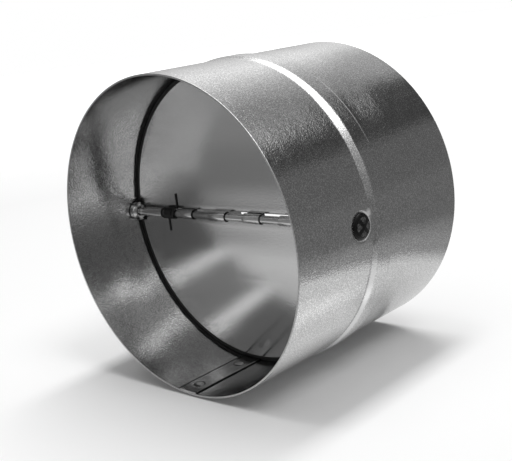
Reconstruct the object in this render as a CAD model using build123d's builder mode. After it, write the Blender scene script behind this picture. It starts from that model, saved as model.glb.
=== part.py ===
from build123d import *
import os
from math import acos, atan2, cos, degrees, hypot, radians, sin

# Backdraft damper for a round duct.
# Millimetres, +Z up. The origin is the middle of the pivot shaft, on the axis of the tube.
# X runs along the shaft and Y along the tube. The front rim, where the air leaves, is towards -Y.

# Casing, a rolled tube of galvanised sheet
casing_diameter = 124.0
casing_length = 98.0
sheet = 0.7
shaft_setback = 35.5

# Bead pressed outwards just behind the shaft, with a long front slope and a short rear one
bead_setback = 5.4
bead_width = 12.0
bead_height = 0.8
bead_front_slope = 3.2
bead_rear_slope = 1.0
bead_gap_radius = 8.4
bead_gap_flare = 2.0

# Dimple pressed inwards under each pivot screw
dimple_radius = 5.2
dimple_depth = 0.5
dimple_flare = 1.0
screw_hole_gap = 0.2

# Grooved lock seam along the bottom, raised on the inside and held by button punches
seam_angle = -98.2
seam_width = 9.4
seam_height = 0.55
seam_line_width = 0.35
seam_line_depth = 0.15
seam_seal_gap = 0.3
button_radius = 1.9
button_height = 0.4
button_taper = 35.0
button_setbacks = (6.8, 29.6)

# Pivot shaft, its two bushes and the screws that hold them from outside
shaft_diameter = 3.2
shaft_seat = 1.4
shaft_chamfer = 0.3
bush_diameter = 8.0
bush_height = 3.0
bush_edge = 0.7
thread_diameter = 5.0
thread_seat = 1.3
seat_fit = 0.02
screw_head_diameter = 10.0
screw_head_height = 1.7
screw_head_edge = 0.5
crown_shoulder = 0.68
crown_flat = 0.3
recess_width = 1.1
recess_length = 5.0
recess_depth = 1.2
recess_taper = 10.0

# Blades, two equal half discs of aluminium sheet
blade_sheet = 0.4
blade_rim_gap = 2.0
blade_edge_setback = 2.2
knuckle_fit = 0.06
knuckle_turn = 300.0
knuckle_width = 9.0
knuckle_pitch = 19.0
knuckle_count = 6
end_knuckle_gap = 0.9
corner_relief = 2.4

# Torsion spring on the shaft, with one leg on each blade, its round wire drawn with flat sides
wire_diameter = 0.6
wire_sides = 6
spring_fit = 0.2
spring_side_gap = 2.3
coil_turns = 6
coil_pitch = 0.75
end_turn_gap = 0.3
end_turn_sweep = 320.0
leg_reach = 8.2
leg_bend_drop = 0.1
leg_bend_radius = 0.8
leg_blade_gap = 0.02

# Rubber seal ring, seated in the hollow of the bead, with a lip behind the blades
seal_fit = 0.05
seal_blade_gap = 0.3
seal_overlap = 2.0
lip_thickness = 2.0
band_thickness = 1.9
seal_ridge_width = 1.2
seal_ridge_crown = 0.5
seal_ridge_height = 0.4
pad_setback = 2.5
pad_radius = 5.6
pad_thickness = 1.4
seal_bush_gap = 0.15

# Places worked out from the sizes above
casing_radius = casing_diameter / 2
inner_radius = casing_radius - sheet
front_rim = -shaft_setback
rear_rim = casing_length - shaft_setback
bead_rear = bead_setback + bead_width
bead_radius = casing_radius + bead_height
dimple_floor = casing_radius - dimple_depth
bush_seat = dimple_floor - sheet
bush_face = bush_seat - bush_height
shaft_radius = shaft_diameter / 2
knuckle_inner = shaft_radius + knuckle_fit
knuckle_outer = knuckle_inner + blade_sheet
blade_radius = inner_radius - blade_rim_gap
seal_face = knuckle_outer + seal_blade_gap

# Round shapes start at the top of the tube, clear of the screws and the seam
wall_plane = Plane(origin=(0, 0, 0), x_dir=(0, 0, 1), z_dir=(-1, 0, 0))
rim_plane = Plane(origin=(0, front_rim, 0), x_dir=(0, 0, 1), z_dir=(0, 1, 0))


def cone_pair(start, radius, flare_rate, length):
    """A cone on each side of the tube, about the X axis, that opens outwards."""
    with BuildPart() as cones:
        for side in (1, -1):
            with Locations(Plane(origin=(side * start, 0, 0), z_dir=(side, 0, 0))):
                Cone(
                    bottom_radius=radius,
                    top_radius=radius + flare_rate * length,
                    height=length,
                    align=(Align.CENTER, Align.CENTER, Align.MIN),
                )
    return cones.part


def tube_core(radius):
    """A solid cylinder as long as the casing."""
    with BuildPart() as core:
        with BuildSketch(rim_plane):
            Circle(radius)
        extrude(amount=casing_length)
    return core.part


def casing_outline():
    """The outer line of the casing's wall, from the front rim to the rear one."""
    Polyline(
        (casing_radius, front_rim),
        (casing_radius, bead_setback),
        (bead_radius, bead_setback + bead_front_slope),
        (bead_radius, bead_rear - bead_rear_slope),
        (casing_radius, bead_rear),
        (casing_radius, rear_rim),
    )


def sector_outline(inner, outer, start_angle, arc):
    """The outline of a face between two arcs about the middle of the plane."""
    CenterArc((0, 0), outer, start_angle, arc)
    CenterArc((0, 0), inner, start_angle, arc)
    for angle in (start_angle, start_angle + arc):
        across = cos(radians(angle))
        upwards = sin(radians(angle))
        Line((inner * across, inner * upwards), (outer * across, outer * upwards))


# The bead fades out round each screw: one cone clears it outside, one closes its hollow inside
cone_reach = 3.0
bead_gap_rate = bead_gap_flare / bead_height
bead_gap_small = bead_gap_radius - bead_gap_rate * cone_reach

with BuildPart() as filled_casing:
    with BuildSketch(wall_plane):
        with BuildLine():
            casing_outline()
            Polyline(
                (casing_radius, rear_rim),
                (0, rear_rim),
                (0, front_rim),
                (casing_radius, front_rim),
            )
        make_face()
    revolve(axis=Axis.Y)

with BuildPart() as bead_clearing:
    add(cone_pair(casing_radius - cone_reach, bead_gap_small, bead_gap_rate, 2 * cone_reach))
    add(tube_core(casing_radius), mode=Mode.SUBTRACT)

with BuildPart() as bead_closing:
    add(cone_pair(inner_radius - cone_reach, bead_gap_small, bead_gap_rate, 2 * cone_reach))
    add(filled_casing.part, mode=Mode.INTERSECT)
    add(tube_core(inner_radius), mode=Mode.SUBTRACT)

# Dimple under each screw: the hollow outside, and the pressed sheet that stands inwards
dimple_rate = dimple_flare / dimple_depth

with BuildPart() as dimple_hollow:
    add(cone_pair(dimple_floor, dimple_radius, dimple_rate, cone_reach))

with BuildPart() as dimple_sheet:
    add(cone_pair(bush_seat, dimple_radius, dimple_rate, cone_reach))
    add(tube_core(casing_radius), mode=Mode.INTERSECT)

# Casing
seam_arc = degrees(seam_width / inner_radius)
seam_inner = inner_radius - seam_height
seam_middle = radians(seam_angle + seam_arc / 2)
seam_line_arc = degrees(seam_line_width / casing_radius)
seam_rear_start = bead_rear + seam_seal_gap
seam_strips = (
    (front_rim, seal_face - seam_seal_gap - front_rim),
    (seam_rear_start, rear_rim - seam_rear_start),
)
button_rows = [front_rim + setback for setback in button_setbacks]
button_rows += [rear_rim - setback for setback in button_setbacks]

with BuildPart() as casing:
    with BuildSketch(wall_plane):
        with BuildLine():
            casing_outline()
            offset(amount=sheet, side=Side.LEFT, kind=Kind.INTERSECTION)
        make_face()
    revolve(axis=Axis.Y)
    add(bead_closing.part)
    add(bead_clearing.part, mode=Mode.SUBTRACT)
    add(dimple_sheet.part)
    add(dimple_hollow.part, mode=Mode.SUBTRACT)
    with BuildSketch(Plane.YZ):
        Circle(thread_diameter / 2 + screw_hole_gap)
    extrude(amount=casing_diameter, both=True, mode=Mode.SUBTRACT)
    for strip_start, strip_length in seam_strips:
        with BuildSketch(Plane.XZ.offset(-strip_start)):
            with BuildLine():
                sector_outline(seam_inner, inner_radius + sheet / 2, seam_angle, seam_arc)
            make_face()
        extrude(amount=-strip_length)
        with BuildSketch(Plane.XZ.offset(-strip_start)):
            with BuildLine():
                sector_outline(casing_radius - seam_line_depth, bead_radius, seam_angle, seam_line_arc)
            make_face()
        extrude(amount=-strip_length, mode=Mode.SUBTRACT)
    for row in button_rows:
        button_base = seam_inner + seam_height / 2
        button_plane = Plane(
            origin=(button_base * cos(seam_middle), row, button_base * sin(seam_middle)),
            x_dir=(0, 1, 0),
            z_dir=(-cos(seam_middle), 0, -sin(seam_middle)),
        )
        with BuildSketch(button_plane):
            Circle(button_radius)
        extrude(amount=button_height + seam_height / 2, taper=button_taper)

# Seal ring: a lip behind the blades' rims, a band along the wall and a foot in the bead's hollow
seal_outer = inner_radius - seal_fit
seal_foot = bead_radius - sheet - seal_fit
lip_inner = blade_radius - seal_overlap
band_inner = inner_radius - band_thickness
lip_rear = seal_face + lip_thickness
foot_front = bead_setback + sheet / 2
foot_rear = bead_rear - bead_rear_slope - sheet
ridge_centre = (blade_radius + inner_radius) / 2

with BuildPart() as seal_clearing:
    with BuildSketch(Plane.YZ):
        Circle(bead_gap_radius + bead_gap_flare + seal_blade_gap)
    extrude(amount=casing_diameter, both=True)
    add(tube_core(seal_outer), mode=Mode.SUBTRACT)

with BuildPart() as seal_ring:
    with BuildSketch(wall_plane):
        with BuildLine():
            Polyline(
                (lip_inner, seal_face),
                (ridge_centre - seal_ridge_width / 2, seal_face),
                (ridge_centre - seal_ridge_crown / 2, seal_face - seal_ridge_height),
                (ridge_centre + seal_ridge_crown / 2, seal_face - seal_ridge_height),
                (ridge_centre + seal_ridge_width / 2, seal_face),
                (seal_outer, seal_face),
                (seal_outer, foot_front),
                (seal_foot, foot_front + bead_front_slope),
                (seal_foot, foot_rear),
                (band_inner, foot_rear),
                (band_inner, lip_rear),
                (lip_inner, lip_rear),
                close=True,
            )
        make_face()
    revolve(axis=Axis.Y)
    add(seal_clearing.part, mode=Mode.SUBTRACT)
    for side in (1, -1):
        pad_plane = Plane(
            origin=(side * (bush_seat - pad_thickness), 0, 0), x_dir=(0, 1, 0), z_dir=(side, 0, 0)
        )
        with BuildSketch(pad_plane):
            with Locations((pad_setback, 0)):
                Circle(pad_radius)
        extrude(amount=pad_thickness - seal_fit)
        relief_plane = Plane(
            origin=(side * (bush_seat - seal_fit), 0, 0), x_dir=(0, 1, 0), z_dir=(side, 0, 0)
        )
        with BuildSketch(relief_plane):
            Circle(dimple_radius + dimple_flare + seal_bush_gap)
        extrude(amount=cone_reach, mode=Mode.SUBTRACT)
        with BuildSketch(pad_plane.offset(-bush_height)):
            Circle(bush_diameter / 2 + seal_bush_gap)
        extrude(amount=2 * bush_height, mode=Mode.SUBTRACT)

# Pivot shaft
shaft_half = bush_face + shaft_seat

with BuildPart() as pivot_shaft:
    with BuildSketch(Plane.YZ):
        Circle(shaft_radius)
    extrude(amount=shaft_half, both=True)
    chamfer(pivot_shaft.edges().filter_by(GeomType.CIRCLE), shaft_chamfer)

# Bushes and pivot screws, one of each at both ends of the shaft
with BuildPart() as right_bush:
    with BuildSketch(Plane.YZ.offset(bush_face)):
        Circle(bush_diameter / 2)
    extrude(amount=bush_height)
    chamfer(right_bush.edges().filter_by(GeomType.CIRCLE).sort_by(Axis.X)[0], bush_edge)
    with BuildSketch(Plane.YZ.offset(bush_face)):
        Circle(shaft_radius + seat_fit)
    extrude(amount=shaft_seat + seat_fit, mode=Mode.SUBTRACT)
    with BuildSketch(Plane.YZ.offset(bush_seat)):
        Circle(thread_diameter / 2 + seat_fit)
    extrude(amount=-(thread_seat + seat_fit), mode=Mode.SUBTRACT)

with BuildPart() as left_bush:
    add(mirror(right_bush.part, about=Plane.YZ))

screw_head_radius = screw_head_diameter / 2
crown_start = dimple_floor + screw_head_edge
crown_rise = screw_head_height - screw_head_edge

with BuildPart() as right_pivot_screw:
    with BuildSketch(Plane.XY):
        with BuildLine():
            Polyline(
                (dimple_floor, 0),
                (dimple_floor, screw_head_radius),
                (crown_start, screw_head_radius),
                (crown_start + crown_shoulder * crown_rise, crown_shoulder * screw_head_radius),
                (crown_start + crown_rise, crown_flat * screw_head_radius),
                (crown_start + crown_rise, 0),
                close=True,
            )
        make_face()
    revolve(axis=Axis.X)
    with BuildSketch(Plane.YZ.offset(dimple_floor)):
        Circle(thread_diameter / 2)
    extrude(amount=-(sheet + thread_seat))
    with BuildSketch(Plane.YZ.offset(dimple_floor + screw_head_height)):
        Rectangle(recess_length, recess_width)
        Rectangle(recess_width, recess_length)
    extrude(amount=-recess_depth, taper=recess_taper, mode=Mode.SUBTRACT)

with BuildPart() as left_pivot_screw:
    add(mirror(right_pivot_screw.part, about=Plane.YZ))

# Blades: a flat half disc, and knuckles rolled round the shaft in turn with the other blade's
end_knuckle_end = bush_face - end_knuckle_gap
knuckle_centres = [(index - (knuckle_count - 1) / 2) * knuckle_pitch for index in range(knuckle_count)]
upper_spans = [(centre - knuckle_width / 2, centre + knuckle_width / 2) for centre in knuckle_centres[1::2]]
upper_spans[-1] = (upper_spans[-1][0], end_knuckle_end)

with BuildPart() as upper_blade:
    with BuildSketch(Plane.XZ.offset(-knuckle_outer)):
        Circle(blade_radius)
        with Locations((0, blade_edge_setback)):
            Rectangle(
                2 * blade_radius,
                blade_radius,
                align=(Align.CENTER, Align.MIN),
                mode=Mode.INTERSECT,
            )
        for side in (1, -1):
            with Locations((side * (end_knuckle_end + blade_rim_gap), blade_edge_setback)):
                Rectangle(
                    2 * blade_rim_gap,
                    2 * corner_relief,
                    mode=Mode.SUBTRACT,
                )
        for span_start, span_end in upper_spans:
            with Locations((span_start, 0)):
                Rectangle(
                    span_end - span_start,
                    blade_edge_setback + blade_sheet,
                    align=(Align.MIN, Align.MIN),
                )
    extrude(amount=blade_sheet)
    for span_start, span_end in upper_spans:
        with BuildSketch(Plane.YZ.offset(span_start)):
            with BuildLine():
                sector_outline(knuckle_inner, knuckle_outer, 0, -knuckle_turn)
            make_face()
        extrude(amount=span_end - span_start)

with BuildPart() as lower_blade:
    add(upper_blade.part.rotate(Axis.Y, 180))

# Torsion spring, coiled on the shaft in the window next to the left end knuckle
spring_window_end = knuckle_centres[1] - knuckle_width / 2
coil_radius = shaft_radius + spring_fit + wire_diameter / 2
upper_turn_place = spring_window_end - spring_side_gap - wire_diameter / 2
coil_length = coil_turns * coil_pitch
coil_start = upper_turn_place - wire_diameter - end_turn_gap - coil_length
lower_turn_place = coil_start - wire_diameter - end_turn_gap
leg_line = knuckle_inner - leg_blade_gap - wire_diameter / 2
leg_bend_height = blade_edge_setback - leg_bend_drop
bend_direction = degrees(atan2(leg_bend_height, leg_line))
bend_distance = hypot(leg_line, leg_bend_height)
leave_angle = bend_direction - degrees(acos(coil_radius / bend_distance))

with BuildPart() as spring_coil:
    with BuildLine() as coil_path:
        Helix(coil_pitch, coil_length, coil_radius, center=(coil_start, 0, 0), direction=(1, 0, 0))
    with BuildSketch(Plane(origin=coil_path.line @ 0, z_dir=coil_path.line % 0)):
        RegularPolygon(wire_diameter / 2, wire_sides)
    sweep(is_frenet=True)


def spring_leg(place, side):
    """An end turn of the spring and its leg, upwards for side 1 and downwards for side -1."""
    leave_point = (
        coil_radius * cos(radians(leave_angle)),
        side * coil_radius * sin(radians(leave_angle)),
    )
    with BuildPart() as leg:
        with BuildLine(Plane.YZ.offset(place)) as path:
            CenterArc(
                (0, 0),
                coil_radius,
                side * (leave_angle - end_turn_sweep),
                side * end_turn_sweep,
            )
            FilletPolyline(
                leave_point,
                (leg_line, side * leg_bend_height),
                (leg_line, side * leg_reach),
                radius=leg_bend_radius,
            )
        leg_wire = path.wires()[0]
        tip = (place, leg_line, side * leg_reach)
        with BuildSketch(Plane(origin=tip, z_dir=(0, 0, side))):
            RegularPolygon(wire_diameter / 2, wire_sides)
        sweep(path=leg_wire)
    return leg.part


with BuildPart() as spring_upper_leg:
    add(spring_leg(upper_turn_place, 1))

with BuildPart() as spring_lower_leg:
    add(spring_leg(lower_turn_place, -1))

# One file for each piece
pieces = {
    "casing": casing,
    "seal_ring": seal_ring,
    "pivot_shaft": pivot_shaft,
    "right_bush": right_bush,
    "left_bush": left_bush,
    "right_pivot_screw": right_pivot_screw,
    "left_pivot_screw": left_pivot_screw,
    "upper_blade": upper_blade,
    "lower_blade": lower_blade,
    "spring_coil": spring_coil,
    "spring_upper_leg": spring_upper_leg,
    "spring_lower_leg": spring_lower_leg,
}

os.makedirs("parts", exist_ok=True)
for name, piece in pieces.items():
    piece.part.label = name
    export_step(piece.part, f"parts/{name}.step")
    print(name, "solids", len(piece.part.solids()), "volume", round(piece.part.volume, 2))
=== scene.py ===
# %% [markdown]
# # A backdraft damper for round duct, dressed for its portrait
#
# The damper is a short tube of galvanised sheet with two half round blades that hang on one thin shaft.
# Its shape and its joints are already made, and they come in here as a frame.
# Blender only adds what the eye sees: bent and rolled metal, rubber, wire, their finishes and the light.
# Every length below is a real one in millimetres, turned to metres by one factor.

# %% Load the frame
from math import atan2, cos, degrees, hypot, radians, sin

import bmesh
import bpy
from mathutils import Matrix, Quaternion, Vector


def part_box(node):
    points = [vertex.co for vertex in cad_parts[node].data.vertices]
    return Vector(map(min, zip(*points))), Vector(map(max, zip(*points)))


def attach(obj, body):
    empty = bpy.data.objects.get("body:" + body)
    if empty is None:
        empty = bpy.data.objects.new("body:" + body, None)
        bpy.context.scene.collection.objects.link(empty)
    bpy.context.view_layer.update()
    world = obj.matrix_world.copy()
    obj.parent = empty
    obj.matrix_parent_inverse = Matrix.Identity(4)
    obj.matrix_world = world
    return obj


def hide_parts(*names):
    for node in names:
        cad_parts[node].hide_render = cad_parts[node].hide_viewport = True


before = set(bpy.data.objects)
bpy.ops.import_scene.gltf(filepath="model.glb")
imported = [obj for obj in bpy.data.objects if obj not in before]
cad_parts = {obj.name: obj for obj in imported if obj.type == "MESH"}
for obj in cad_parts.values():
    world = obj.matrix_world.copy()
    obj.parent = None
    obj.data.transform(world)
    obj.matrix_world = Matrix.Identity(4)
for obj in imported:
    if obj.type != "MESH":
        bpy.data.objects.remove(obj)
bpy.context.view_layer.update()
MM = 0.001
print("nodes in the frame:", len(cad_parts))

# %% [markdown]
# ## Sizes that the pieces share
#
# The tube lies along Y with its front rim at the low end, and the shaft runs along X through the origin.
# The sizes are read off the frame where it has them, so the looks stay on the parts that carry them.

# %% Shared sizes
casing_low, casing_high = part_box("casing")
bead_crown = casing_high.x / MM
# the bead rises gently from the front and drops off steeply at the rear
bead_height = 0.8
bead_front_slope = 3.2
bead_rear_slope = 1.0
wall_outer = bead_crown - bead_height
sheet = 0.7
wall_inner = wall_outer - sheet
front_rim = casing_low.y / MM
rear_rim = casing_high.y / MM
bead_start = 5.4
bead_end = 17.4
bush_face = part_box("right_bush")[0].x / MM
bush_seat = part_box("right_bush")[1].x / MM
screw_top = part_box("right_pivot_screw")[1].x / MM
blade_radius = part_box("upper_blade")[1].z / MM
shaft_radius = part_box("pivot_shaft")[1].z / MM
shaft_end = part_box("pivot_shaft")[1].x / MM
print("wall radius", round(wall_outer, 2), "tube from", round(front_rim, 1), "to", round(rear_rim, 1))
print("bush from", round(bush_face, 2), "to", round(bush_seat, 2), "screw top", round(screw_top, 2))
print("blade reach", round(blade_radius, 2), "shaft radius", round(shaft_radius, 2))

# %% [markdown]
# ## Small helpers for mesh work
#
# Each piece starts in a bmesh, Blender's open mesh workshop, and ends as an object that sits at the
# origin. Most parts of the damper are round, so most start as a profile, a flat face with a few
# corners. Its corners are rounded, and then it is spun like clay on a wheel. That takes fewer numbers
# than lists of points would, and a wall or a fillet is changed in one place.


# %% Mesh helpers
def flat_profile(bm, corners, across, along):
    """A face with the given corners in mm, each one a distance across and a distance along."""
    points = [bm.verts.new((Vector(across) * u + Vector(along) * v) * MM) for u, v in corners]
    return bm.faces.new(points)


def round_corners(bm, corners, radius, segments=3):
    """Round the named corners of a flat profile."""
    bmesh.ops.bevel(
        bm,
        geom=corners,
        offset=radius * MM,
        segments=segments,
        profile=0.5,
        affect="VERTICES",
        material=-1,
        clamp_overlap=True,
    )


def keep_outline(bm, axis=None):
    """Drop the profile's face and keep its edge, so that a spin makes a skin and no inner walls.

    An edge that lies on the axis of a solid turned part, where the x, y or z named is 0, goes too.
    """
    bmesh.ops.delete(bm, geom=bm.faces[:], context="FACES_ONLY")
    if axis:
        on_axis = [edge for edge in bm.edges if all(abs(getattr(v.co, axis)) < 1e-9 for v in edge.verts)]
        bmesh.ops.delete(bm, geom=on_axis, context="EDGES")


def spin_ring(bm, geometry, axis, turn, steps, slide=(0, 0, 0)):
    """Turn a profile about an axis by an angle in degrees and give back its last copy."""
    full = abs(abs(turn) - 360) < 1e-6 and Vector(slide).length == 0
    made = bmesh.ops.spin(
        bm,
        geom=geometry,
        cent=(0, 0, 0),
        axis=axis,
        dvec=Vector(slide) * MM,
        angle=radians(turn),
        steps=steps,
        use_merge=full,
        use_duplicate=False,
    )
    return made["geom_last"]


def finish_piece(name, bm, material, body, node=None, crease=35):
    """Close, turn outwards and smooth a mesh, and hang it on a body of the frame."""
    bmesh.ops.remove_doubles(bm, verts=bm.verts[:], dist=0.002 * MM)
    bmesh.ops.recalc_face_normals(bm, faces=bm.faces[:])
    mesh = bpy.data.meshes.new(name)
    bm.to_mesh(mesh)
    bm.free()
    mesh.polygons.foreach_set("use_smooth", [True] * len(mesh.polygons))
    mesh.set_sharp_from_angle(angle=radians(crease))
    mesh.materials.append(material)
    piece = bpy.data.objects.new(name, mesh)
    bpy.context.scene.collection.objects.link(piece)
    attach(piece, body)
    if node:
        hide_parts(node)
    print(name, "faces", len(mesh.polygons))
    return piece


print("a profile is drawn in mm and kept in metres, by a factor of", MM)

# %% [markdown]
# ## Small helpers for materials
#
# Colours are written as the hex values a screen shows, and one function turns them to linear light.
# A second one adds a shader node with its settings and its links, and that is all the nodes need.


# %% Material helpers
def linear(code):
    """A hex colour as linear red, green, blue and alpha."""
    parts = [int(code[place:place + 2], 16) / 255 for place in (0, 2, 4)]
    return [part / 12.92 if part <= 0.04045 else ((part + 0.055) / 1.055) ** 2.4 for part in parts] + [1.0]


def add_node(tree, kind, inputs=None, **settings):
    """Add a node and set its options. An input takes a value, a socket or a node's first output."""
    node = tree.nodes.new("ShaderNode" + kind)
    for name, value in settings.items():
        setattr(node, name, value)
    for name, value in (inputs or {}).items():
        if isinstance(value, bpy.types.Node):
            value = value.outputs[0]
        if isinstance(value, bpy.types.NodeSocket):
            tree.links.new(value, node.inputs[name])
        else:
            node.inputs[name].default_value = value
    return node


def new_material(name):
    """An empty material, its nodes, and where each point lies on the piece, in metres."""
    material = bpy.data.materials.new(name)
    material.use_nodes = True
    tree = material.node_tree
    tree.nodes.clear()
    return material, tree, add_node(tree, "TexCoord").outputs["Object"]


def patches(tree, place, sizes):
    """Cloudy patterns by name, each with patches of a size in mm and a number of finer layers."""
    return {
        name: add_node(tree, "TexNoise", {"Vector": place, "Scale": 1 / (size * MM), "Detail": detail})
        for name, (size, detail) in sizes.items()
    }


def relief(tree, layers):
    """Raise the surface by a stack of patterns, each to a depth in mm."""
    normal = None
    for pattern, depth in layers:
        inputs = {"Height": pattern, "Strength": 1.0, "Distance": depth * MM}
        if normal is not None:
            inputs["Normal"] = normal
        normal = add_node(tree, "Bump", inputs)
    return normal


print("white is", linear("ffffff")[:3], "and mid grey", round(linear("808080")[0], 3))

# %% [markdown]
# ## Galvanised steel
#
# The tube is mild steel strip that was hot dipped in zinc and then rolled smooth.
# It mirrors the room as a soft blur. A fine pebble grain, shallow dents a few millimetres wide and the
# lines that the rolls drew along the strip tilt that mirror a little, so the blur breaks into flecks
# wherever a light ends, and stays calm where the room is even. An image of zinc would do it too, but
# patterns of a real size in millimetres stay sharp at any distance.
#
# Painted light on the sheet follows in steps of its own: a highlight ring and a bright spot at the
# right screw, and low on the sides a highlight on the bead's front flank and a dark reflection of
# shade along its feet. Each is a mask, a pattern that is 1 on its place and 0 elsewhere.


# %% Marks on the zinc
def screw_highlight_mask(tree, parts):
    """A mask of a painted highlight ring round the right screw's dimple, and of one bright spot by it."""
    ring_inside, ring_outside = (4.9, 5.1), (5.75, 5.35)
    bright_spot_middle, bright_spot_reach = (0, 4.9, 3.9), (2.1, 0.7)
    side = add_node(tree, "CombineXYZ", {"Y": parts.outputs["Y"], "Z": parts.outputs["Z"]})
    reach = add_node(tree, "VectorMath", {0: side}, operation="LENGTH").outputs["Value"]
    begins = add_node(tree, "MapRange", {0: reach, 1: ring_inside[0] * MM, 2: ring_inside[1] * MM})
    ends = add_node(tree, "MapRange", {0: reach, 1: ring_outside[0] * MM, 2: ring_outside[1] * MM})
    ring = add_node(tree, "Math", {0: begins, 1: ends}, operation="MULTIPLY")
    middle = Vector(bright_spot_middle) * MM
    bright_spot = add_node(tree, "VectorMath", {0: side, 1: middle}, operation="DISTANCE").outputs["Value"]
    bright_spot = add_node(tree, "MapRange", {0: bright_spot, 1: bright_spot_reach[0] * MM, 2: bright_spot_reach[1] * MM})
    on_right = add_node(tree, "MapRange", {0: parts.outputs["X"], 1: 50 * MM, 2: 51 * MM})
    both = add_node(tree, "Math", {0: ring, 1: bright_spot}, operation="MAXIMUM")
    return add_node(tree, "Math", {0: both, 1: on_right}, operation="MULTIPLY")


def bead_flank_highlight_mask(tree, along, low_down):
    """A mask of the bead's front flank, low on the sides, painted bright as a highlight."""
    begins = add_node(tree, "MapRange", {0: along, 1: (bead_start + 0.5) * MM, 2: (bead_start + 1.0) * MM})
    flank_end = bead_start + bead_front_slope
    ends = add_node(tree, "MapRange", {0: along, 1: flank_end * MM, 2: (flank_end - 0.6) * MM})
    flank = add_node(tree, "Math", {0: begins, 1: ends}, operation="MULTIPLY")
    return add_node(tree, "Math", {0: flank, 1: low_down}, operation="MULTIPLY")


def bead_foot_shade_mask(tree, along, low_down, foot, share):
    """A mask of a thin dark line at a foot of the bead, low on the sides, painted as reflected shade."""
    away = add_node(tree, "Math", {0: along, 1: foot * MM}, operation="SUBTRACT")
    away = add_node(tree, "Math", {0: away}, operation="ABSOLUTE")
    line = add_node(tree, "MapRange", {0: away, 1: 0.55 * MM, 2: 0.2 * MM, 4: share})
    return add_node(tree, "Math", {0: line, 1: low_down}, operation="MULTIPLY")


print("bead from", bead_start, "to", bead_end, "mm behind the shaft")


# %% Galvanised steel
def galvanised_steel():
    """Rolled zinc: a soft mirror with flecks, which reads as clean sheet metal and not as chrome."""
    material, tree, place = new_material("galvanised_steel_rolled")
    parts = add_node(tree, "SeparateXYZ", {"Vector": place})
    along = parts.outputs["Y"]
    # the skin as if it was unrolled: the way round it in metres, and the way along it
    turn = add_node(tree, "Math", {0: parts.outputs["X"], 1: parts.outputs["Z"]}, operation="ARCTAN2")
    arc = add_node(tree, "Math", {0: turn, 1: wall_outer * MM}, operation="MULTIPLY")
    flat = add_node(tree, "CombineXYZ", {"X": arc, "Y": along})
    stretch = add_node(tree, "Mapping", {"Vector": flat, "Scale": (1 / (0.8 * MM), 1 / (14 * MM), 1)})
    lines = add_node(tree, "TexNoise", {"Vector": stretch, "Scale": 1.0, "Detail": 2.0, "Roughness": 0.55})
    sizes = {"dents": (18.0, 0), "cloud": (4.0, 2), "ripple": (2.4, 1), "grain": (0.6, 1)}
    sizes["flecks"] = (0.45, 1)
    patch = patches(tree, place, sizes)
    fleck = add_node(tree, "MapRange", {0: patch["flecks"], 1: 0.42, 2: 0.7})
    painted_ring_light = screw_highlight_mask(tree, parts)
    low_down = add_node(tree, "MapRange", {0: parts.outputs["Z"], 1: -8 * MM, 2: -22 * MM})
    tint = add_node(
        tree, "Mix", {0: patch["cloud"], 6: linear("acacac"), 7: linear("bebebe")}, data_type="RGBA"
    )
    # painted light on the zinc: a highlight ring and a bright spot at the right screw, and low on the sides
    # a highlight on the bead's front flank and a dark reflection of shade along each foot; the bright flecks
    # are the zinc's own
    for mask, code in (
        (fleck, "e6e6e6"),
        (painted_ring_light, "fcfcfc"),
        (bead_flank_highlight_mask(tree, along, low_down), "dadada"),
        (bead_foot_shade_mask(tree, along, low_down, bead_start, 0.45), "3c3c3c"),
        (bead_foot_shade_mask(tree, along, low_down, bead_end, 0.7), "3c3c3c"),
    ):
        tint = add_node(tree, "Mix", {0: mask, 6: tint.outputs[2], 7: linear(code)}, data_type="RGBA")
    gloss = add_node(tree, "MapRange", {0: patch["cloud"], 1: 0.3, 2: 0.7, 3: 0.11, 4: 0.15})
    gloss = add_node(tree, "Math", {0: painted_ring_light, 1: 0.4, 2: gloss}, operation="MULTIPLY_ADD")
    # the rolls that pressed the bead drew the sheet in a little just behind it
    drawn_in = add_node(tree, "MapRange", {0: along, 1: bead_end * MM, 2: (bead_end + 17) * MM})
    depths = {"dents": 0.22, "drawn_in": 0.45, "ripple": 0.045, "lines": 0.012, "grain": 0.045}
    patch.update(drawn_in=drawn_in, lines=lines)
    normal = relief(tree, [(patch[name], depth) for name, depth in depths.items()])
    inputs = {"Base Color": tint.outputs[2], "Metallic": 1.0, "Roughness": gloss, "Normal": normal}
    add_node(tree, "OutputMaterial", {"Surface": add_node(tree, "BsdfPrincipled", inputs)})
    return material


zinc_skin = galvanised_steel()
print("material", zinc_skin.name)

# %% [markdown]
# ## Aluminium sheet
#
# The blades are thin mill finished aluminium: paler and smoother than the tube. Thin sheet is never
# quite flat, so wide soft buckles bend whatever it mirrors, and they die out near the stiff rolled
# edge. The lower blade also leans back against the seal, which turns its mirror a few degrees.
# All of that is shading, because the sheet itself has to stay where the frame has it.


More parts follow.
